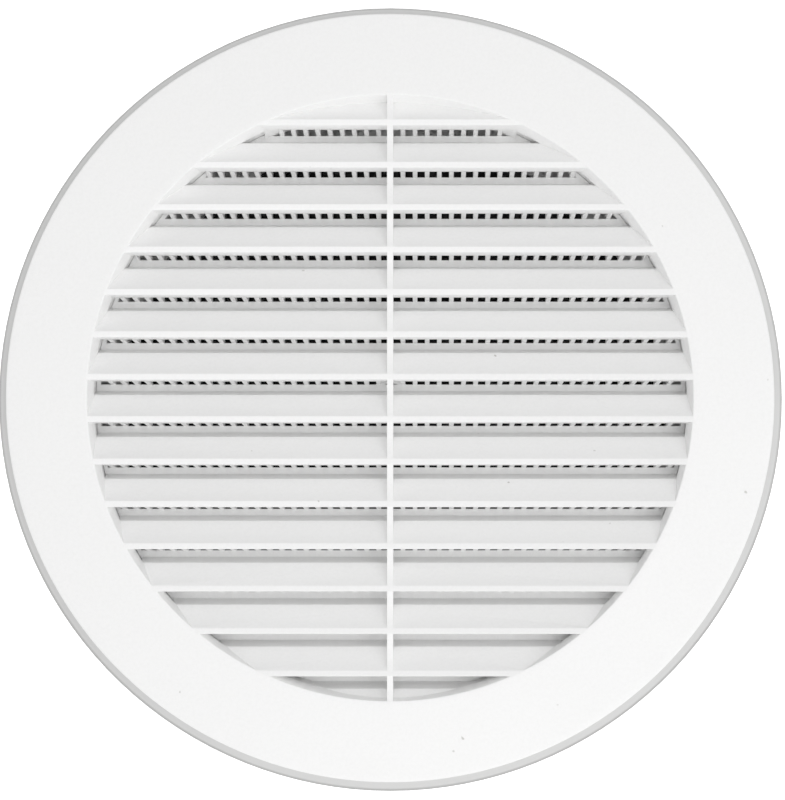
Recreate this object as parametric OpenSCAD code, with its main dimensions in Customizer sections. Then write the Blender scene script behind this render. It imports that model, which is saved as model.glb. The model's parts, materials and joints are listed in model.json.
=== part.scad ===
// Round louvred extract grille for a 150 mm duct: wall ring with duct collar,
// pull-off louvre face with insect screen, sprung two-flap backdraft damper.
// Millimetres. X right, Z up, the louvre face looks towards -Y.
// Origin: duct axis on the wall plane.

/* [Wall ring] */
// Outer radius of the wall ring at the wall
ring_r = 96.2; // [90:0.1:110]
// Radius where the ring's sloping edge starts, just outside the louvre face
ring_top_r = 93.8; // [88:0.1:108]
// Thickness of the ring plate on the wall
plate_t = 3.3; // [2:0.1:6]
// Outer radius of the duct collar
collar_r = 74.7; // [60:0.1:80]
// Bore radius of the duct collar
collar_bore_r = 73.5; // [58:0.1:79]
// Length of the collar behind the wall plane
collar_l = 46; // [40:1:80]
// Radius of the circle through the wall screw holes
wall_screw_r = 84; // [80:0.5:90]
// Diameter of each wall screw hole
wall_screw_d = 4.5; // [3:0.1:6]
// Number of wall screw holes
wall_screw_n = 4; // [3:1:6]

/* [Louvre face] */
// Outer radius of the louvre face
face_r = 93.4; // [85:0.1:105]
// Thickness of the face flange
face_t = 2.2; // [1.5:0.1:4]
// Radius of the rounding on the outer edge of the face
face_edge_r = 0.4; // [0.2:0.1:2]
// Radius of the opening at the front plane
open_r = 73.6; // [60:0.1:80]
// Radius of the opening where the throat ends
throat_r = 72.8; // [60:0.1:80]
// Outer radius of the throat and its two tongues, which enter the collar
sleeve_r = 73.3; // [60:0.1:80]
// Inner radius of the tongues
sleeve_bore_r = 72.2; // [59:0.1:79]
// Depth of the tongues behind the front plane
sleeve_d = 10.1; // [8:0.1:20]
// Width of the top and bottom tongues
tongue_w = 62; // [30:1:120]

/* [Louvres] */
// Number of louvre bars
bar_n = 14; // [8:1:20]
// Spacing of the louvre bars
bar_pitch = 10.3; // [7:0.1:16]
// Height of the front edge of each bar
bar_h = 1.4; // [0.8:0.1:3]
// Depth of the slope of each blade
slope_d = 4.9; // [3:0.1:7]
// Rise of the slope of each blade
slope_rise = 5.6; // [3:0.1:9]
// Depth of the blade from the front plane to the rear edge
blade_d = 10.2; // [8:0.1:14]
// Rise of the nearly level ledge behind the slope
ledge_rise = 1.4; // [0:0.1:3]
// Wall thickness of the blades
skin = 1.2; // [0.8:0.1:2]
// Width of the upright mullion
mullion_w = 1.45; // [1:0.05:4]

/* [Insect screen] */
// Spacing of the comb fins
comb_pitch = 3.0; // [2:0.1:5]
// Thickness of each comb fin
comb_w = 1.1; // [0.6:0.1:2]
// Number of slots across the widest row
comb_n = 48; // [20:2:60]
// Thickness of the screen
screen_t = 1.6; // [1:0.1:3]
// Distance of the screen lip below the underside of the bar above
gap_h = 0.3; // [0:0.1:3]
// Outer radius of the screen rim
screen_r = 73.3; // [60:0.1:79]

/* [Damper] */
// Radius of the seat step inside the collar
seat_r = 71.8; // [60:0.1:73]
// Distance of the damper frame behind the wall plane
damper_y = 34; // [25:0.5:60]
// Outer radius of the damper frame
frame_r = 73.2; // [60:0.1:79]
// Depth of the damper frame
frame_d = 10; // [6:0.5:20]
// Radius of each flap
flap_r = 70.7; // [60:0.1:72]
// Thickness of each flap
flap_t = 1.3; // [0.8:0.1:3]
// Hinge pin radius
pin_r = 1.5; // [1:0.1:3]
// Running gap between the pin and the flap knuckles
pin_gap = 0.06; // [0.02:0.01:0.1]

/* [Hidden] */
$fn = 96;

white = [0.95, 0.95, 0.94];
black = [0.06, 0.06, 0.065];
foam = [0.30, 0.30, 0.31];
rubber = [0.12, 0.12, 0.12];
steel = [0.72, 0.73, 0.75];
nylon = [0.88, 0.86, 0.80];

front_y = -plate_t - face_t;
eps = 0.01;

// Blade profile measured from the bottom front edge of its bar: depth, height
slope_m = slope_rise / slope_d;
ledge_h = bar_h + slope_rise;
rear_h = ledge_h + ledge_rise;
ledge_slope = ledge_rise / (blade_d - slope_d);
// Drop of the sloping skin measured straight down
skin_drop = skin * sqrt(1 + slope_m * slope_m);
under_h = bar_h - skin_drop;
shelf_top = 1.0;
shelf_end = 0.9;
shelf_m = (shelf_top - shelf_end) / slope_d;
in_front_d = (shelf_top - under_h) / (slope_m + shelf_m);
in_rear_d = (ledge_h - ledge_slope * slope_d - skin - under_h) / (slope_m - ledge_slope);

// Screen heights in the same measure
lip_top = bar_pitch - gap_h;
strip_low = rear_h - 1.5;
fin_front = slope_d + 0.1;
fin_root = bar_pitch + 2.1;
screen_y = front_y + blade_d;

// Centre fixing of the screen, hidden behind a blade
fix_z = -1.1;
fix_hole_r = 1.5;
fix_pad_r = 3.2;
pillar_r = 2.2;
pillar_d = slope_d + 0.1;
pilot_r = 1.25;
pilot_d = pillar_d + 0.7;
web_w = 1.2;
shank_r = 1.22;
head_r = 2.4;
head_t = 1.7;
boss_r = 5.5;
boss_bore_r = 4.3;
boss_z = 0.2;
screw_l = 6.2;
boss_l = 3.4;
washer_r = 2.9;
washer_t = 0.5;
rim_w = 1.0;

// Collar
step_t = 3.4;
seal_groove_r = 73.6;
seal_groove_w = 2.8;
seal_groove_y = damper_y - 3.1;
seal_lip = 0.3;
snap_groove_r = 74.0;
snap_groove_y = damper_y + frame_d;
snap_groove_w = 1.2;
snap_gap = 16;
gasket_in_r = 89.6;
gasket_out_r = 93.0;
gasket_d = 1.4;
clip_at = [75, 105, 255, 285];
clip_w = 9;
clip_t = 0.35;
clip_leg_r = 80;

// Damper
lip_t = 1.2;
seat_t = 0.6;
frame_bore = 71.4;
frame_lip_r = 68.9;
spine_half = 5;
flap_y = damper_y + lip_t + seat_t + 0.1;
pin_y = flap_y + flap_t + 1.4;
flap_edge_x = 3.1;
knuckle_r = 2.6;
knuckle_l = 12;
knuckle_z = [18, -54];
rib_h = 2;
rib_t = 1.2;
rib_z = [-48, -24, 24, 48];
hub_half = 4;
hub_z = 66;
hub_clear_x = 6.2;
hub_clear_z = 64;
bush_r = 2.45;
bush_l = 4.8;
pin_half = 70.6;
pin_clip_z = 64.6;
pin_clip_t = 0.6;
pin_clip_r = 3.2;
pin_neck_r = 1.05;
spacer_r = 1.95;
end_play = 0.3;
coil_r = 2.6;
wire_r = 0.45;
coil_turns = 6;
coil_pitch = 0.82;
coil_z = 6;
spring_leg = 15;
buffer_x = 35;
buffer_r = 3;
buffer_l = 7.2;

// Turn a radius/depth outline into a ring about the duct axis
module about_axis() {
    rotate([-90, 0, 0])
        rotate_extrude()
            children();
}

// Stretch a depth/height outline along X, centred
module along_x(length) {
    translate([-length / 2, 0, 0])
        rotate([90, 0, 90])
            linear_extrude(length)
                children();
}

// Tube or solid cylinder along the hinge pin from z0 to z1
module on_pin(r, z0, z1, bore = 0) {
    translate([0, pin_y, z0])
        difference() {
            cylinder(r = r, h = z1 - z0);
            if (bore > 0)
                translate([0, 0, -1])
                    cylinder(r = bore, h = z1 - z0 + 2);
        }
}

// Cylinder along Y from y0 to y1
module rod_y(r, y0, y1) {
    translate([0, y0, 0])
        rotate([-90, 0, 0])
            cylinder(r = r, h = y1 - y0);
}

// Box from its low corner to its high corner
module box(low, high) {
    translate(low)
        cube(high - low);
}

// Wall ring: plate on the wall, sloping edge, duct collar with damper step
module ring_outline() {
    polygon([
        [collar_bore_r + 0.85, -plate_t],
        [ring_top_r, -plate_t],
        [ring_r, -0.5],
        [ring_r, 0],
        [collar_r, 0],
        [collar_r, collar_l - 1],
        [collar_r - 0.4, collar_l],
        [collar_bore_r, collar_l],
        [collar_bore_r, damper_y],
        [seat_r, damper_y],
        [seat_r, damper_y - step_t + 1],
        [collar_bore_r, damper_y - step_t],
        [collar_bore_r, -0.6]
    ]);
}

module groove(r0, r1, y0, y1) {
    about_axis()
        translate([r0, y0])
            square([r1 - r0, y1 - y0]);
}

module wall_ring() {
    color(white)
        difference() {
            about_axis()
                ring_outline();
            groove(gasket_in_r, gasket_out_r, -gasket_d, 1);
            groove(seal_groove_r, collar_r + 1, seal_groove_y, seal_groove_y + seal_groove_w);
            groove(collar_bore_r - 1, snap_groove_r, snap_groove_y, snap_groove_y + snap_groove_w);
            for (i = [0 : wall_screw_n - 1])
                rotate([0, i * 360 / wall_screw_n, 0])
                    translate([wall_screw_r, 0, 0]) {
                        rod_y(wall_screw_d / 2, -plate_t - 1, 1);
                        rod_y(wall_screw_d, -plate_t - 1, -plate_t + 1.2);
                    }
            for (a = clip_at)
                rotate([0, a, 0])
                    clip_pocket();
        }
}

// Pocket in the plate and window in the collar for one grip clip
module clip_pocket() {
    half = clip_w / 2 + 1;
    box([collar_bore_r - 2, -plate_t - 1, -half], [clip_leg_r + 0.5, -plate_t + 1.1, half]);
    box([collar_bore_r - 2, -plate_t - 1, -half], [collar_r + 1, 6.2, half]);
}

module wall_gasket() {
    color(foam)
        groove(gasket_in_r + 0.1, gasket_out_r - 0.1, -gasket_d, 0);
}

module duct_seal() {
    base_w = seal_groove_w - 0.1;
    color(rubber)
        translate([0, seal_groove_y + 0.05, 0])
            about_axis()
                polygon([
                    [seal_groove_r, 0],
                    [collar_r, 0],
                    [collar_r + seal_lip, base_w - 1],
                    [collar_r + seal_lip, base_w - 0.5],
                    [collar_r, base_w],
                    [seal_groove_r, base_w]
                ]);
}

// Spring steel grip clip: flat leg in the plate, finger bearing on the sleeve
module grip_clip() {
    y0 = -plate_t + 0.2;
    bend_r = collar_bore_r + 0.95;
    tip_r = sleeve_r + 0.07;
    translate([0, 0, -clip_w / 2])
        linear_extrude(clip_w)
            polygon([
                [bend_r, y0],
                [clip_leg_r, y0],
                [clip_leg_r, y0 + clip_t],
                [bend_r + clip_t, y0 + clip_t],
                [tip_r + clip_t, 1.5],
                [tip_r + clip_t, 4],
                [tip_r + clip_t + 0.7, 5.6],
                [tip_r + 0.7, 5.7],
                [tip_r, 4.1],
                [tip_r, 1.5]
            ]);
}

module grip_clips() {
    color(steel)
        for (a = clip_at)
            rotate([0, a, 0])
                grip_clip();
}

// Louvre face
module face_outline() {
    throat_y = front_y + slope_d;
    steps = 8;
    roll = [for (i = [0 : steps])
        let (a = 90 * i / steps)
            [face_r - face_edge_r * (1 - sin(a)), front_y + face_edge_r * (1 - cos(a))]];
    lip = [for (i = [0 : 4])
        let (a = 90 - 70 * i / 4)
            [open_r + 0.5 - 0.5 * cos(a), front_y + 0.5 - 0.5 * sin(a)]];
    back = [
        [face_r, -plate_t],
        [sleeve_r + 0.8, -plate_t],
        [sleeve_r, throat_y],
        [throat_r, throat_y]
    ];
    rim = [for (i = [len(lip) - 1 : -1 : 0]) lip[i]];
    polygon(concat(rim, roll, back));
}

// Top and bottom tongues behind the throat, held by the grip clips
module tongues() {
    half = tongue_w / 2;
    intersection() {
        groove(sleeve_bore_r, sleeve_r, front_y + slope_d - 0.3, front_y + sleeve_d);
        box([-half, front_y, -sleeve_r], [half, front_y + blade_d, sleeve_r]);
    }
}

// Everything of the blades lies inside this plug
module throat_plug() {
    throat_y = front_y + slope_d;
    about_axis()
        polygon([
            [0, front_y],
            [open_r + 0.6, front_y],
            [open_r - 0.1, -plate_t],
            [throat_r + 0.25, throat_y],
            [throat_r + 0.25, screen_y],
            [0, screen_y]
        ]);
}

module blade_outline() {
    polygon([
        [0, 0],
        [0, bar_h],
        [slope_d, ledge_h],
        [blade_d, rear_h],
        [blade_d, rear_h - skin],
        [in_rear_d, slope_m * in_rear_d + under_h],
        [in_front_d, slope_m * in_front_d + under_h],
        [slope_d, shelf_end],
        [slope_d, 0]
    ]);
}

function bar_z(i) = (i - (bar_n + 1) / 2) * bar_pitch - bar_h / 2;

module louvre_face() {
    color(white) {
        about_axis()
            face_outline();
        tongues();
        difference() {
            intersection() {
                throat_plug();
                union() {
                    for (i = [0 : bar_n])
                        translate([0, front_y, bar_z(i)])
                            along_x(2 * open_r + 4)
                                blade_outline();
                    box([-mullion_w / 2, front_y, -open_r - 2], [mullion_w / 2, front_y + 4.2, open_r + 2]);
                    translate([0, 0, fix_z])
                        rod_y(pillar_r, front_y + pillar_d, screen_y);
                    box([-web_w / 2, front_y + 3.6, fix_z - 2.6], [web_w / 2, front_y + 7, fix_z + 0.5]);
                }
            }
            translate([0, 0, fix_z])
                rod_y(pilot_r, front_y + pilot_d, screen_y + 1);
        }
    }
}

// Insect screen: upright ribs with forward fins, level strips, rim and centre boss
module fin_outline() {
    polygon([
        [blade_d + eps, lip_top],
        [blade_d + eps, fin_root],
        [fin_front, bar_pitch]
    ]);
}

module comb_grid() {
    side = 2 * screen_r;
    intersection() {
        for (i = [1 - comb_n / 2 : comb_n / 2 - 1])
            translate([i * comb_pitch - comb_w / 2, front_y, -screen_r])
                cube([comb_w, blade_d + screen_t, side]);
        union() {
            translate([-screen_r, screen_y, -screen_r])
                cube([side, screen_t, side]);
            for (i = [0 : bar_n])
                translate([0, front_y, bar_z(i)])
                    along_x(side)
                        fin_outline();
        }
    }
    for (i = [0 : bar_n])
        translate([-screen_r, screen_y, bar_z(i) + strip_low])
            cube([side, screen_t, lip_top - strip_low]);
}

module insect_screen() {
    back_y = screen_y + screen_t;
    color(white)
        difference() {
            union() {
                intersection() {
                    union() {
                        rod_y(sleeve_bore_r - 0.2, front_y, screen_y + eps);
                        rod_y(screen_r - rim_w / 2, screen_y, back_y);
                    }
                    comb_grid();
                }
                groove(screen_r - rim_w, screen_r, screen_y, back_y);
                translate([0, 0, boss_z])
                    groove(boss_bore_r, boss_r, screen_y, screen_y + boss_l);
                translate([0, 0, fix_z])
                    rod_y(fix_pad_r, screen_y, back_y);
            }
            translate([0, 0, fix_z])
                rod_y(fix_hole_r, screen_y - 1, back_y + 1);
        }
}

module screen_washer() {
    y0 = screen_y + screen_t;
    color(steel)
        translate([0, 0, fix_z])
            groove(fix_hole_r, washer_r, y0, y0 + washer_t);
}

module screen_screw() {
    y0 = screen_y + screen_t + washer_t;
    slot = 0.7;
    color(steel)
        translate([0, 0, fix_z])
            difference() {
                about_axis()
                    polygon([
                        [0, y0 - screw_l],
                        [shank_r - 0.5, y0 - screw_l],
                        [shank_r, y0 - screw_l + 0.8],
                        [shank_r, y0],
                        [head_r, y0],
                        [head_r, y0 + head_t - 0.7],
                        [head_r - 0.7, y0 + head_t],
                        [0, y0 + head_t]
                    ]);
                for (turn = [0, 90])
                    rotate([0, turn, 0])
                        translate([-1.5, y0 + head_t - 1, -slot / 2])
                            cube([3, 2, slot]);
            }
}

// Damper frame: ring with seat lip, centre spine and two hinge hubs
module hub_boxes(grow) {
    for (s = [-1, 1])
        translate([0, 0, s * (hub_z + 4)])
            box([-hub_half - grow, damper_y + eps, -4 - grow], [hub_half + grow, pin_y + hub_half, 4 + grow]);
}

module damper_frame() {
    lip_y = damper_y + lip_t;
    color(black)
        difference() {
            union() {
                groove(frame_bore, frame_r, damper_y, damper_y + frame_d);
                groove(frame_lip_r, frame_bore + eps, damper_y, lip_y);
                intersection() {
                    rod_y(frame_bore + 0.5, damper_y, damper_y + frame_d);
                    union() {
                        box([-spine_half, damper_y, -80], [spine_half, lip_y, 80]);
                        hub_boxes(0);
                    }
                }
            }
            on_pin(bush_r + 0.03, hub_z - 1, hub_z + bush_l + 0.1);
            on_pin(bush_r + 0.03, -hub_z - bush_l - 0.1, -hub_z + 1);
        }
}

// Two D-shaped foam gaskets on the frame lip
module damper_seat() {
    y0 = damper_y + lip_t;
    edge_x = flap_edge_x + 0.2;
    color(foam)
        difference() {
            union() {
                groove(frame_lip_r + 0.2, frame_bore - 0.2, y0, y0 + seat_t);
                intersection() {
                    rod_y(frame_bore - 0.3, y0, y0 + seat_t);
                    for (s = [-1, 1])
                        translate([s * (edge_x + spine_half - 0.1) / 2, 0, 0])
                            box([-0.75, y0, -80], [0.75, y0 + seat_t, 80]);
                }
            }
            hub_boxes(0.1);
        }
}

// Sprung C-shaped ring that holds the damper frame in the collar
module retaining_ring() {
    color(steel)
        difference() {
            groove(snap_groove_r - 1.4, snap_groove_r - 0.05, snap_groove_y + 0.05, snap_groove_y + 1.15);
            box([-snap_gap / 2, snap_groove_y - 1, -80], [snap_gap / 2, snap_groove_y + 3, 0]);
        }
}

module hinge_pin() {
    color(steel)
        difference() {
            on_pin(pin_r, -pin_half, pin_half);
            for (s = [-1, 1])
                translate([0, 0, s * (pin_clip_z + pin_clip_t / 2) - pin_clip_t / 2 - 0.03])
                    on_pin(pin_r + 1, 0, pin_clip_t + 0.06, pin_neck_r);
        }
}

module pin_bush(s) {
    color(nylon)
        on_pin(bush_r, min(s * hub_z, s * (hub_z + bush_l)), max(s * hub_z, s * (hub_z + bush_l)), pin_r + 0.02);
}

module pin_bush_top() {
    pin_bush(1);
}

module pin_bush_bottom() {
    pin_bush(-1);
}

// Open retaining clips that snap on to the necks of the pin
module pin_clips() {
    color(steel)
        for (s = [-1, 1])
            translate([0, 0, s * (pin_clip_z + pin_clip_t / 2) - pin_clip_t / 2])
                difference() {
                    on_pin(pin_clip_r, 0, pin_clip_t, pin_neck_r + 0.02);
                    box([-pin_neck_r + 0.1, pin_y, -1], [pin_neck_r - 0.1, pin_y + 6, 2]);
                }
}

// Plain tubes that space the knuckles along the pin
module pin_spacers() {
    k = knuckle_l / 2;
    ends = [
        [knuckle_z[1] * -1 + k, pin_clip_z],
        [knuckle_z[0] + k, knuckle_z[1] * -1 - k],
        [-knuckle_z[0] + k, knuckle_z[0] - k]
    ];
    color(nylon)
        for (e = ends) {
            on_pin(spacer_r, e[0] + end_play, e[1] - end_play, pin_r + pin_gap);
            if (e[0] > 0)
                on_pin(spacer_r, -e[1] + end_play, -e[0] - end_play, pin_r + pin_gap);
        }
}

// Right-hand flap; the left-hand one is the same moulding turned half round
module flap() {
    rear_y = flap_y + flap_t;
    k = knuckle_l / 2;
    color(black)
        difference() {
            union() {
                intersection() {
                    rod_y(flap_r, flap_y, rear_y + rib_h);
                    union() {
                        box([flap_edge_x, flap_y, -80], [80, rear_y, 80]);
                        for (z = rib_z)
                            box([6, rear_y - eps, z - rib_t / 2], [80, rear_y + rib_h, z + rib_t / 2]);
                    }
                }
                for (z = knuckle_z) {
                    on_pin(knuckle_r, z - k, z + k);
                    translate([0, 0, z - k])
                        linear_extrude(knuckle_l)
                            polygon([
                                [0, flap_y],
                                [flap_edge_x + 1, flap_y],
                                [flap_edge_x + 4, rear_y - eps],
                                [1.5, pin_y + 2],
                                [0, pin_y]
                            ]);
                }
            }
            for (z = knuckle_z)
                on_pin(pin_r + pin_gap, z - k - 1, z + k + 1);
            for (s = [-1, 1])
                translate([0, 0, s * (hub_clear_z + 10)])
                    box([-1, flap_y - 1, -10], [hub_clear_x, rear_y + 3, 10]);
        }
}

module flap_right() {
    flap();
}

module flap_left() {
    rotate([0, 180, 0])
        flap();
}

// Torsion spring: close coils round the pin and one leg along the flap
module spring() {
    leg_y = flap_y + flap_t + wire_r + 0.02;
    top_z = coil_z + (coil_turns - 1) / 2 * coil_pitch;
    start_x = sqrt(coil_r * coil_r - pow(pin_y - leg_y, 2));
    color(steel) {
        translate([0, pin_y, coil_z])
            rotate_extrude()
                for (i = [0 : coil_turns - 1])
                    translate([coil_r, (i - (coil_turns - 1) / 2) * coil_pitch])
                        circle(wire_r);
        translate([start_x, leg_y, top_z])
            rotate([0, 90, 0])
                cylinder(r = wire_r, h = spring_leg);
    }
}

module spring_right() {
    spring();
}

module spring_left() {
    rotate([0, 180, 0])
        spring();
}

// Rubber stop that meets its opposite number when the flaps are fully open
module buffer() {
    color(rubber)
        translate([buffer_x, flap_y + flap_t, 0])
            about_axis()
                polygon([
                    [0, 0],
                    [buffer_r, 0],
                    [buffer_r, buffer_l - 1.5],
                    [2.2, buffer_l - 0.4],
                    [1.2, buffer_l],
                    [0, buffer_l]
                ]);
}

module buffer_right() {
    buffer();
}

module buffer_left() {
    rotate([0, 180, 0])
        buffer();
}

wall_ring();
wall_gasket();
duct_seal();
grip_clips();
louvre_face();
insect_screen();
screen_screw();
screen_washer();
damper_frame();
damper_seat();
retaining_ring();
hinge_pin();
pin_bush_top();
pin_bush_bottom();
pin_clips();
pin_spacers();
flap_left();
flap_right();
spring_left();
spring_right();
buffer_left();
buffer_right();
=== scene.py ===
import json
import math

import bmesh
import bpy
from mathutils import Matrix, Vector


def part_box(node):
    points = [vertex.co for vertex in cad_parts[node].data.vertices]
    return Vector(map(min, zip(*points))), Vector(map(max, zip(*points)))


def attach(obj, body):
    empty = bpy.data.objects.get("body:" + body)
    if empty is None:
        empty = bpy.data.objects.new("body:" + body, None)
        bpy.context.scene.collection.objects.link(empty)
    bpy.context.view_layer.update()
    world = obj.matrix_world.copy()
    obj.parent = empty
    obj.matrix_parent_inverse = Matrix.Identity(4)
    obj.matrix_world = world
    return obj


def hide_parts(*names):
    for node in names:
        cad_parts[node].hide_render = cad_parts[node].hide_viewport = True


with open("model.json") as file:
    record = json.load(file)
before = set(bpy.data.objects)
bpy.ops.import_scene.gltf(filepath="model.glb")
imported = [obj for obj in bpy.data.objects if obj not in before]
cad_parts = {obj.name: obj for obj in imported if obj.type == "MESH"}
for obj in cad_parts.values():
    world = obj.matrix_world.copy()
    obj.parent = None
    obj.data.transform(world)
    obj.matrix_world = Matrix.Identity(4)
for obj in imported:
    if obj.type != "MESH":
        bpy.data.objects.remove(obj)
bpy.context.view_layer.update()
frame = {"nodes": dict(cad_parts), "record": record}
nodes = frame["nodes"]
scene = bpy.context.scene

MM = 0.001


# ---------------------------------------------------------------- sizes in mm, from the frame
face_lo, face_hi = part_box("louvre_face")
ring_lo, ring_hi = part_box("wall_ring")
FRONT = face_lo.y / MM                  # front plane of the flange
FACE_R = face_hi.x / MM
RING_R = ring_hi.x / MM
PIN_Y = sum(v.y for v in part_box("hinge_pin")) / 2 / MM

# ---------------------------------------------------------------- louvre face sizes in mm
FACE_T = 2.2
OPEN_R = 73.6                           # radius of the opening at the front
THROAT_R = 72.8                         # radius of the opening where the slopes end
SLEEVE_R = 73.3                         # outside of the two tongues
SLEEVE_BORE = 72.2                      # inside of the two tongues
TONGUE_D = 10.1
TONGUE_HALF = 31
TONGUE_LEAD = 3.5                       # length of the taper from throat to tongue
EDGE_R = 0.4                            # rounding of the flange's outer edge
LIP_R = 0.35                            # rounding of the opening's front edge
CROWN = 0.02                            # how much the flange falls away towards its two edges
CHAMFER = 0.1
OVERLAP = 0.3                           # how far joined shapes run into each other

BARS = 14
PITCH = 10.3
BAR_H = 1.4
BAR_SET_BACK = 0.03
SLOPE_D = 4.9
SLOPE_RISE = 5.6
LEDGE_RISE = 1.4
BLADE_D = 10.2
SKIN = 1.2
SHELF_TOP = 1.0                         # height of the web behind the bar, at the front
SHELF_END = 0.9                         # its height where it ends
BLADE_GROWTH = 0.25                     # how far blades run into the throat wall

MULLION_W = 1.45
MULLION_D = 4.2
MULLION_SET_BACK = 0.05

PILLAR_R = 2.2
PILLAR_BORE = 1.25
PILLAR_D = 5
PILLAR_FLOOR = 0.7
PILLAR_Z = -1.1


# ---------------------------------------------------------------- mesh helpers
def new_object(name, verts, faces):
    """Makes an object from points in mm."""
    mesh = bpy.data.meshes.new(name)
    mesh.from_pydata([Vector(v) * MM for v in verts], [], faces)
    mesh.update()
    obj = bpy.data.objects.new(name, mesh)
    scene.collection.objects.link(obj)
    return obj


def outward(obj):
    """Turns every face outwards."""
    bm = bmesh.new()
    bm.from_mesh(obj.data)
    bmesh.ops.recalc_face_normals(bm, faces=bm.faces)
    bm.to_mesh(obj.data)
    bm.free()
    return obj


def lathe(name, outline, steps=360, centre=(0, 0)):
    """Turns a closed (radius, y) outline about the duct axis; points at radius 0 become poles."""
    verts, rings, faces = [], [], []
    for r, y in outline:
        if r < 1e-6:
            rings.append([len(verts)] * steps)
            verts.append((centre[0], y, centre[1]))
            continue
        rings.append([len(verts) + k for k in range(steps)])
        for k in range(steps):
            a = 2 * math.pi * k / steps
            verts.append((centre[0] + r * math.cos(a), y, centre[1] + r * math.sin(a)))
    count = len(outline)
    for i in range(count):
        a, b = rings[i], rings[(i + 1) % count]
        for k in range(steps):
            n = (k + 1) % steps
            quad = []
            for v in (a[k], b[k], b[n], a[n]):
                if v not in quad:
                    quad.append(v)
            if len(quad) > 2:
                faces.append(quad)
    return outward(new_object(name, verts, faces))


def bar(name, outline, x0, x1):
    """Stretches a closed (y, z) outline along X."""
    n = len(outline)
    verts = [(x, y, z) for x in (x0, x1) for y, z in outline]
    faces = [[i, (i + 1) % n, n + (i + 1) % n, n + i] for i in range(n)]
    faces += [list(range(n))[::-1], list(range(n, 2 * n))]
    return outward(new_object(name, verts, faces))


def rounded(corners, steps=4):
    """Closed outline from (point, radius) corners, with each corner replaced by an arc."""
    points = [Vector(point) for point, radius in corners]
    out, n = [], len(points)
    for i, (point, radius) in enumerate(corners):
        p = points[i]
        a = (points[i - 1] - p).normalized()
        b = (points[(i + 1) % n] - p).normalized()
        half = a.angle(b) / 2
        reach = radius / math.tan(half)
        centre = p + (a + b).normalized() * (radius / math.sin(half))
        start, end = p + a * reach - centre, p + b * reach - centre
        turn = start.angle_signed(end)
        for k in range(steps + 1):
            v = start.copy()
            v.rotate(Matrix.Rotation(-turn * k / steps, 2))
            out.append(tuple(centre + v))
    return out


def combine(target, others, operation):
    """Joins the others to the target, or cuts it down to them, and removes the others."""
    for other in others:
        m = target.modifiers.new("b", "BOOLEAN")
        m.operation = operation
        m.solver = "MANIFOLD"
        m.object = other
    bpy.context.view_layer.update()
    done = bpy.data.meshes.new_from_object(
        target.evaluated_get(bpy.context.evaluated_depsgraph_get())
    )
    target.modifiers.clear()
    target.data = done
    for other in others:
        bpy.data.objects.remove(other)
    return target


def soften(obj, angle=35):
    """Shades smooth, apart from edges sharper than the angle in degrees."""
    mesh = obj.data
    mesh.polygons.foreach_set("use_smooth", [True] * len(mesh.polygons))
    mesh.set_sharp_from_angle(angle=math.radians(angle))
    return obj


def tidy_cad(name, bevel=0.12):
    """Welds a CAD mesh, joins its flat triangles and rounds its edges, all as modifiers."""
    obj = nodes[name]
    m = obj.modifiers.new("weld", "WELD")
    m.merge_threshold = 2e-6
    m = obj.modifiers.new("flat", "DECIMATE")
    m.decimate_type = "DISSOLVE"
    m.angle_limit = math.radians(0.6)
    m = obj.modifiers.new("edge", "BEVEL")
    m.width = bevel * MM
    m.segments = 2
    m.limit_method = "ANGLE"
    m.angle_limit = math.radians(40)


# ---------------------------------------------------------------- louvre face
def flange():
    """The flange with its opening, down to the throat."""
    throat = FRONT + SLOPE_D
    back = FRONT + FACE_T
    inner = OPEN_R + LIP_R
    width = FACE_R - EDGE_R - inner
    crown = [(FACE_R - EDGE_R * (1 - math.sin(a)), FRONT + EDGE_R * (1 - math.cos(a)))
             for a in (math.radians(90 * k / 6) for k in range(7))]
    lip = [(inner - LIP_R * math.cos(a), FRONT + LIP_R - LIP_R * math.sin(a))
           for a in (math.radians(10 + 80 * k / 5) for k in range(6))]
    dome = [(inner + width * t, FRONT + CROWN * math.cos(math.pi * t) ** 2)
            for t in (k / 12 for k in range(1, 12))]
    rear = [
        (FACE_R, back - 2 * CHAMFER), (FACE_R - 2 * CHAMFER, back), (SLEEVE_R + 0.8, back),
        (SLEEVE_R, throat - CHAMFER), (SLEEVE_R - CHAMFER, throat),
        (THROAT_R + CHAMFER, throat), (THROAT_R, throat - CHAMFER),
    ]
    return lathe("louvre_face_moulding", lip + dome + crown + rear)


def plug():
    """The space inside the opening, which every blade and the mullion is cut down to."""
    reach = THROAT_R + BLADE_GROWTH
    return lathe("plug", [
        (0, FRONT), (OPEN_R + 0.5, FRONT), (OPEN_R, FRONT + FACE_T), (reach, FRONT + SLOPE_D),
        (reach, FRONT + BLADE_D), (0, FRONT + BLADE_D),
    ])


def tongues():
    """Top and bottom parts of the sleeve behind the throat."""
    throat = FRONT + SLOPE_D
    end = FRONT + TONGUE_D
    sleeve = lathe("tongues", [
        (SLEEVE_BORE, throat + TONGUE_LEAD), (THROAT_R + 0.02, throat - OVERLAP),
        (SLEEVE_R, throat - OVERLAP), (SLEEVE_R, end - 3 * CHAMFER), (SLEEVE_R - 3 * CHAMFER, end),
        (SLEEVE_BORE + 2 * CHAMFER, end), (SLEEVE_BORE, end - 2 * CHAMFER),
    ])
    deep, tall = 20, 80
    slab = bar("slab", [(FRONT, -tall), (FRONT + deep, -tall), (FRONT + deep, tall), (FRONT, tall)],
               -TONGUE_HALF, TONGUE_HALF)
    return combine(sleeve, [slab], "INTERSECT")


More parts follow.
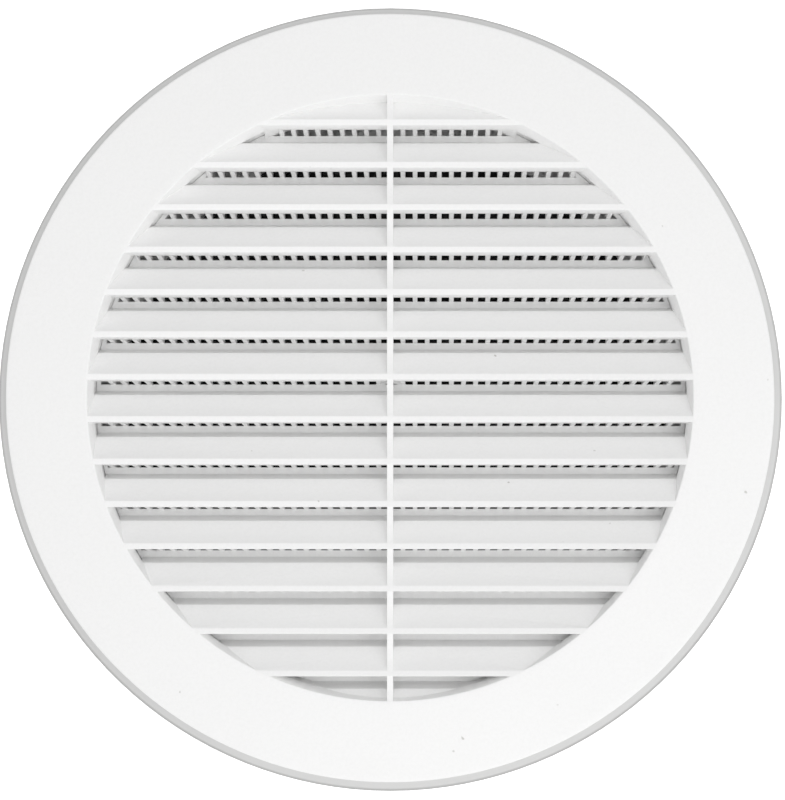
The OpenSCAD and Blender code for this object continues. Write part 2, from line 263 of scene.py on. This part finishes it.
def blade_outline(z0):
    """Section of one bar and its blade: a slope up and back, then a ledge to the screen."""
    ledge = BAR_H + SLOPE_RISE
    rear = ledge + LEDGE_RISE
    steep = SLOPE_RISE / SLOPE_D
    under = BAR_H - SKIN * math.sqrt(1 + steep * steep)
    root_d = (SHELF_TOP - under) / (steep + (SHELF_TOP - SHELF_END) / SLOPE_D)
    slope = LEDGE_RISE / (BLADE_D - SLOPE_D)
    knee_d = (ledge - slope * SLOPE_D - SKIN - under) / (steep - slope)
    corners = [
        ((0, 0), 0.16), ((0, BAR_H), 0.3), ((SLOPE_D, ledge), 0.55),
        ((BLADE_D, rear), 0.12), ((BLADE_D, rear - SKIN), 0.12),
        ((knee_d, steep * knee_d + under), 0.4), ((root_d, steep * root_d + under), 0.25),
        ((SLOPE_D, SHELF_END), 0.15), ((SLOPE_D, 0), 0.2),
    ]
    return [(FRONT + BAR_SET_BACK + d, z0 + h) for d, h in rounded(corners)]


def blades(length):
    """One blade behind every bar, and a partial one below the lowest."""
    made = []
    for i in range(BARS + 1):
        z0 = (i - (BARS + 1) / 2) * PITCH - BAR_H / 2
        blade = bar("blade", blade_outline(z0), -length, length)
        made.append(combine(blade, [plug()], "INTERSECT"))
    return made


def mullion(length):
    near, far = FRONT + MULLION_SET_BACK, FRONT + MULLION_D
    upright = bar("mullion", [(near, -length), (far, -length), (far, length), (near, length)],
                  -MULLION_W / 2, MULLION_W / 2)
    return combine(upright, [plug()], "INTERSECT")


def pillar():
    """Hollow pillar that takes the screen's screw."""
    root = FRONT + PILLAR_D
    return lathe("pillar", [
        (0, root), (PILLAR_R, root), (PILLAR_R, FRONT + BLADE_D),
        (PILLAR_BORE, FRONT + BLADE_D), (PILLAR_BORE, root + PILLAR_FLOOR), (0, root + PILLAR_FLOOR),
    ], 48, (0, PILLAR_Z))


def louvre_face():
    body = flange()
    length = OPEN_R + 2
    combine(body, blades(length) + [mullion(length), pillar(), tongues()], "UNION")
    soften(body)
    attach(body, "face")
    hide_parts("louvre_face")
    return body


# ---------------------------------------------------------------- torsion springs, in mm
COIL_R = 2.6
WIRE_R = 0.45
TURNS = 6
COIL_START = 3.55                       # height of the first turn
COIL_STEP = 0.816                       # rise of one turn
LEAVE = math.radians(-50)               # where the wire leaves the coil
LEG_Y = 0.93                            # how far the leg lies in front of the pin
LEG_END = 17.43
BEND = [(2.2, 1.47), (2.8, 1.08), (3.6, LEG_Y), (LEG_END, LEG_Y)]


def tube(name, path, radius, sides=10):
    """Sweeps a round wire along the path, with closed ends."""
    path = [Vector(p) for p in path]
    verts, faces = [], []
    side = Vector((0, 0, 1))
    for k, p in enumerate(path):
        along = (path[min(k + 1, len(path) - 1)] - path[max(k - 1, 0)]).normalized()
        side = (side - along * side.dot(along)).normalized()
        other = along.cross(side)
        for j in range(sides):
            a = 2 * math.pi * j / sides
            verts.append(p + (side * math.cos(a) + other * math.sin(a)) * radius)
    for k in range(len(path) - 1):
        for j in range(sides):
            n = (j + 1) % sides
            faces.append([k * sides + j, k * sides + n, (k + 1) * sides + n, (k + 1) * sides + j])
    last = (len(path) - 1) * sides
    faces += [list(range(sides))[::-1], list(range(last, last + sides))]
    return soften(outward(new_object(name, verts, faces)), 60)


def spring(name, node_name, body, turned):
    """A coil about the hinge pin with one straight leg; the turned one is its half turn."""
    per_turn = 24
    path = []
    for k in range(TURNS * per_turn + 1):
        t = k / per_turn
        a = LEAVE - 2 * math.pi * (TURNS - t)
        path.append((COIL_R * math.cos(a), PIN_Y + COIL_R * math.sin(a), COIL_START + COIL_STEP * t))
    top = path[-1][2]
    path += [(x, PIN_Y - y, top) for x, y in BEND]
    if turned:
        path = [(-x, y, -z) for x, y, z in path]
    obj = tube(name, path, WIRE_R)
    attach(obj, body)
    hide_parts(node_name)
    return obj


# ---------------------------------------------------------------- material helpers
def material(name, colour, roughness, build=None, **sockets):
    mat = bpy.data.materials.new(name)
    mat.use_nodes = True
    tree = mat.node_tree
    shader = tree.nodes["Principled BSDF"]
    shader.inputs["Base Color"].default_value = (*colour, 1)
    shader.inputs["Roughness"].default_value = roughness
    for key, value in sockets.items():
        shader.inputs[key.replace("_", " ")].default_value = value
    if build:
        build(tree, shader)
    return mat


def node(tree, kind, **settings):
    n = tree.nodes.new(kind)
    for key, value in settings.items():
        setattr(n, key, value)
    return n


def coords(tree, scale=(1, 1, 1)):
    """Object coordinates in metres, times the scale."""
    tex = node(tree, "ShaderNodeTexCoord")
    mapping = node(tree, "ShaderNodeMapping")
    mapping.inputs["Scale"].default_value = scale
    tree.links.new(tex.outputs["Object"], mapping.inputs["Vector"])
    return mapping.outputs["Vector"]


def noise(tree, vector, scale, detail=3.0, roughness=0.5):
    n = node(tree, "ShaderNodeTexNoise")
    n.inputs["Scale"].default_value = scale
    n.inputs["Detail"].default_value = detail
    n.inputs["Roughness"].default_value = roughness
    tree.links.new(vector, n.inputs["Vector"])
    return n.outputs["Fac"]


def ramp(tree, factor, stops):
    n = node(tree, "ShaderNodeValToRGB")
    while len(n.color_ramp.elements) < len(stops):
        n.color_ramp.elements.new(0.5)
    for element, (place, colour) in zip(n.color_ramp.elements, stops):
        element.position = place
        element.color = (*colour, 1)
    tree.links.new(factor, n.inputs["Fac"])
    return n.outputs["Color"]


def multiply(tree, first, second):
    """Multiplies two colours."""
    mix = node(tree, "ShaderNodeMix", data_type="RGBA", blend_type="MULTIPLY")
    mix.inputs["Factor"].default_value = 1
    colour_a, colour_b, result = 6, 7, 2        # the colour sockets, whose names are not unique
    tree.links.new(first, mix.inputs[colour_a])
    tree.links.new(second, mix.inputs[colour_b])
    return mix.outputs[result]


def grey(level):
    return (level,) * 3


def bump(tree, shader, heights):
    """Stacks (height socket, strength, distance in mm) bumps on the shader's normal."""
    normal = None
    for height, strength, distance in heights:
        b = node(tree, "ShaderNodeBump")
        b.inputs["Strength"].default_value = strength
        b.inputs["Distance"].default_value = distance * MM
        tree.links.new(height, b.inputs["Height"])
        if normal:
            tree.links.new(normal, b.inputs["Normal"])
        normal = b.outputs["Normal"]
    tree.links.new(normal, shader.inputs["Normal"])


# ---------------------------------------------------------------- materials
WHITE = (0.965, 0.965, 0.962)
SPECK = (0.62, 0.61, 0.59)
# painted shade: grey that stands in for the shade on the ring's outer side
RIM_PAINTED_SHADE = (0.66, 0.66, 0.655)
# painted shadow: the dark line round the ring's outermost edge
EDGE_PAINTED_SHADOW = (0.36, 0.36, 0.355)
SHADOW_LINE_CUTS = {"edge": 0.3, "shade": 0.8}      # mm in from the ring's rim: where the painted shadow line is full, and where it fades into the painted grey shade


def white_build(tree, shader):
    """White moulding with a fine grain and a few dark specks."""
    v = coords(tree)
    broad = noise(tree, v, 45, 2)
    fine = noise(tree, v, 2600, 2)
    specks = noise(tree, v, 420, 1)
    tint = ramp(tree, specks, [(0.0, SPECK), (0.16, SPECK), (0.19, WHITE), (1.0, WHITE)])
    grain = ramp(tree, noise(tree, v, 1100, 3, 0.7), [(0.35, grey(0.97)), (0.6, grey(1.0))])
    tree.links.new(multiply(tree, tint, grain), shader.inputs["Base Color"])
    rough = ramp(tree, broad, [(0.3, grey(0.30)), (0.7, grey(0.40))])
    tree.links.new(rough, shader.inputs["Roughness"])
    bump(tree, shader, [(broad, 0.35, 0.25), (fine, 0.25, 0.01)])


def ring_build(tree, shader):
    """White bore and collar, the ring's outer side painted grey as shade, and a painted shadow line round
    the outermost edge.
    """
    span = 100                          # the ramp runs from radius 0 to this many mm
    per_span = 1 / (span * MM)
    v = coords(tree)
    broad = noise(tree, v, 60, 3)
    length = node(tree, "ShaderNodeVectorMath", operation="LENGTH")
    tree.links.new(coords(tree, (per_span, 0, per_span)), length.inputs[0])
    # white on the bore and collar; further out, painted grey shade, then a painted shadow line at the
    # outermost edge
    bore_and_painted_shade = ramp(tree, length.outputs["Value"], [
        (0.0, WHITE), (74.5 / span, WHITE), (77 / span, RIM_PAINTED_SHADE),
        ((RING_R - SHADOW_LINE_CUTS["shade"]) / span, RIM_PAINTED_SHADE), ((RING_R - SHADOW_LINE_CUTS["edge"]) / span, EDGE_PAINTED_SHADOW), (1.0, EDGE_PAINTED_SHADOW),
    ])
    cloud = ramp(tree, broad, [(0.3, grey(0.97)), (0.7, grey(1.0))])
    tree.links.new(multiply(tree, bore_and_painted_shade, cloud), shader.inputs["Base Color"])
    bump(tree, shader, [(broad, 0.3, 0.2), (noise(tree, v, 1800, 3), 0.3, 0.015)])


def black_build(tree, shader):
    """Black moulding with a matt grain."""
    v = coords(tree)
    grain = noise(tree, v, 1500, 4, 0.6)
    broad = noise(tree, v, 60, 3)
    tint = ramp(tree, broad, [(0.3, (0.012, 0.012, 0.013)), (0.75, (0.022, 0.022, 0.023))])
    tree.links.new(tint, shader.inputs["Base Color"])
    bump(tree, shader, [(grain, 0.5, 0.05)])


def foam_build(tree, shader):
    """Grey foam with small cells, their pits painted darker as shade."""
    v = coords(tree)
    cells = node(tree, "ShaderNodeTexVoronoi")
    cells.inputs["Scale"].default_value = 1900
    tree.links.new(v, cells.inputs["Vector"])
    # darker at each cell's middle, where the bump sinks a pit: painted shade in the pits
    tint = ramp(tree, cells.outputs["Distance"], [(0.0, (0.02, 0.02, 0.021)), (0.5, (0.075, 0.075, 0.08))])
    tree.links.new(tint, shader.inputs["Base Color"])
    bump(tree, shader, [(cells.outputs["Distance"], 0.9, 0.25)])


def rubber_build(tree, shader):
    """Black rubber with a pale bloom."""
    v = coords(tree)
    bloom = noise(tree, v, 180, 5, 0.65)
    tint = ramp(tree, bloom, [(0.35, grey(0.016)), (0.75, (0.045, 0.045, 0.044))])
    tree.links.new(tint, shader.inputs["Base Color"])
    bump(tree, shader, [(noise(tree, v, 2500, 3), 0.4, 0.02)])


def steel_build(tree, shader):
    """Bright steel with fine lines."""
    v = coords(tree, (1, 1, 14))
    lines = noise(tree, v, 700, 4, 0.6)
    rough = ramp(tree, lines, [(0.3, grey(0.18)), (0.7, grey(0.34))])
    tree.links.new(rough, shader.inputs["Roughness"])
    bump(tree, shader, [(lines, 0.15, 0.01)])


def zinc_build(tree, shader):
    """Zinc-plated steel, slightly clouded."""
    v = coords(tree)
    spangle = noise(tree, v, 900, 4, 0.55)
    tint = ramp(tree, spangle, [(0.3, (0.55, 0.56, 0.57)), (0.7, (0.74, 0.75, 0.76))])
    tree.links.new(tint, shader.inputs["Base Color"])
    bump(tree, shader, [(spangle, 0.2, 0.01)])


def nylon_build(tree, shader):
    """Undyed nylon, slightly clouded."""
    v = coords(tree)
    cloud = noise(tree, v, 400, 3)
    tint = ramp(tree, cloud, [(0.3, (0.70, 0.66, 0.55)), (0.7, (0.80, 0.77, 0.68))])
    tree.links.new(tint, shader.inputs["Base Color"])
    bump(tree, shader, [(cloud, 0.2, 0.02)])


ring_white = material("ring_plastic", RIM_PAINTED_SHADE, 0.4, ring_build)
looks = {
    "white_plastic": material("white_plastic", WHITE, 0.34, white_build, Subsurface_Weight=0.1,
                              Subsurface_Scale=0.0004, Subsurface_Radius=(1, 1, 1)),
    "black_plastic": material("black_plastic", (0.016, 0.016, 0.017), 0.55, black_build),
    "grey_foam": material("grey_foam", (0.06, 0.06, 0.06), 0.95, foam_build),
    "black_rubber": material("black_rubber", (0.03, 0.03, 0.03), 0.7, rubber_build),
    "spring_steel": material("spring_steel", (0.58, 0.59, 0.61), 0.25, steel_build, Metallic=1.0),
    "zinc_steel": material("zinc_steel", (0.66, 0.67, 0.68), 0.32, zinc_build, Metallic=1.0),
    "natural_nylon": material("natural_nylon", (0.75, 0.72, 0.62), 0.45, nylon_build,
                              Subsurface_Weight=0.2, Subsurface_Scale=0.001),
}


def paint(obj, mat):
    obj.data.materials.clear()
    obj.data.materials.append(mat)


# ---------------------------------------------------------------- pieces
slot_of = {s["node"]: s["material_slot"] for s in frame["record"]["subparts"]}
body_of = {n: b for b, names in frame["record"]["behaviour"]["bodies"].items() for n in names}
for name, obj in nodes.items():
    paint(obj, looks[slot_of[name]])
for name in ("wall_ring", "damper_frame", "flap_left", "flap_right", "retaining_ring", "hinge_pin",
             "pin_clips", "grip_clips", "screen_screw", "screen_washer"):
    tidy_cad(name)
paint(nodes["wall_ring"], ring_white)
paint(louvre_face(), looks["white_plastic"])
for side, turned in (("right", False), ("left", True)):
    coil = spring(f"spring_{side}_wire", f"spring_{side}", body_of[f"spring_{side}"], turned)
    paint(coil, looks["spring_steel"])


# ---------------------------------------------------------------- stage, in mm
FLOOR_Z = -950
STAGE_HALF = 9000
BACK_Y = 1600
BACK_TOP = 6000


def plane(name, corners, level, emission):
    """A flat sheet of the stage, in one grey and with some light of its own."""
    obj = new_object(name, corners, [[0, 1, 2, 3]])
    mat = material(name, grey(level), 0.8)
    shader = mat.node_tree.nodes["Principled BSDF"]
    shader.inputs["Emission Color"].default_value = (1, 1, 1, 1)
    shader.inputs["Emission Strength"].default_value = emission
    obj.data.materials.append(mat)
    return obj


plane("floor", [
    (-STAGE_HALF, -STAGE_HALF, FLOOR_Z), (STAGE_HALF, -STAGE_HALF, FLOOR_Z),
    (STAGE_HALF, BACK_Y, FLOOR_Z), (-STAGE_HALF, BACK_Y, FLOOR_Z),
], 0.62, 0.24)
plane("backdrop", [
    (-STAGE_HALF, BACK_Y, FLOOR_Z), (STAGE_HALF, BACK_Y, FLOOR_Z),
    (STAGE_HALF, BACK_Y, BACK_TOP), (-STAGE_HALF, BACK_Y, BACK_TOP),
], 0.5, 1.0)


# ---------------------------------------------------------------- light
KEY = Vector((0.15, -0.87, 0.42)).normalized()      # where the soft light is brightest
LOW, HIGH = 0.13, 0.88                  # its level well away from there, and there


def studio_world():
    """Soft light all round, brightest towards KEY."""
    world = bpy.data.worlds.new("studio")
    scene.world = world
    world.use_nodes = True
    tree = world.node_tree
    tex = node(tree, "ShaderNodeTexCoord")
    dot = node(tree, "ShaderNodeVectorMath", operation="DOT_PRODUCT")
    dot.inputs[1].default_value = KEY
    tree.links.new(tex.outputs["Generated"], dot.inputs[0])
    glow = ramp(tree, dot.outputs["Value"], [(0.0, grey(LOW)), (0.25, grey(LOW)), (0.95, grey(HIGH))])
    tree.links.new(glow, tree.nodes["Background"].inputs["Color"])


def area(name, place, target, side, power):
    """A square light that faces the target."""
    light = bpy.data.lights.new(name, "AREA")
    light.shape = "RECTANGLE"
    light.size = side
    light.size_y = side
    light.energy = power
    obj = bpy.data.objects.new(name, light)
    scene.collection.objects.link(obj)
    obj.location = place
    obj.rotation_euler = (Vector(target) - Vector(place)).to_track_quat("-Z", "Y").to_euler()
    return obj


studio_world()
area("key", (0.25, -0.85, -0.40), (0, 0, -0.03), 0.9, 3.4)


# ---------------------------------------------------------------- camera
CAMERA_X = 10                           # mm right of the duct axis
CAMERA_Z = -36                          # mm, so below the duct axis
CAMERA_AWAY = 427                       # mm in front of the flange

camera_data = bpy.data.cameras.new("camera")
camera = bpy.data.objects.new("camera", camera_data)
scene.collection.objects.link(camera)
scene.camera = camera
camera_data.sensor_fit = "AUTO"
camera_data.sensor_width = 36
camera_data.lens = 79.11
camera_data.shift_x = -0.0484
camera_data.shift_y = 0.1826
camera_data.clip_start = 0.01
camera_data.clip_end = 50
camera.location = (CAMERA_X * MM, (FRONT - CAMERA_AWAY) * MM, CAMERA_Z * MM)
camera.rotation_euler = (math.radians(90), 0, 0)

scene.cycles.max_bounces = 16
scene.cycles.diffuse_bounces = 12
scene.cycles.glossy_bounces = 6
scene.view_settings.view_transform = "Standard"
scene.view_settings.look = "None"
scene.view_settings.gamma = 1.15
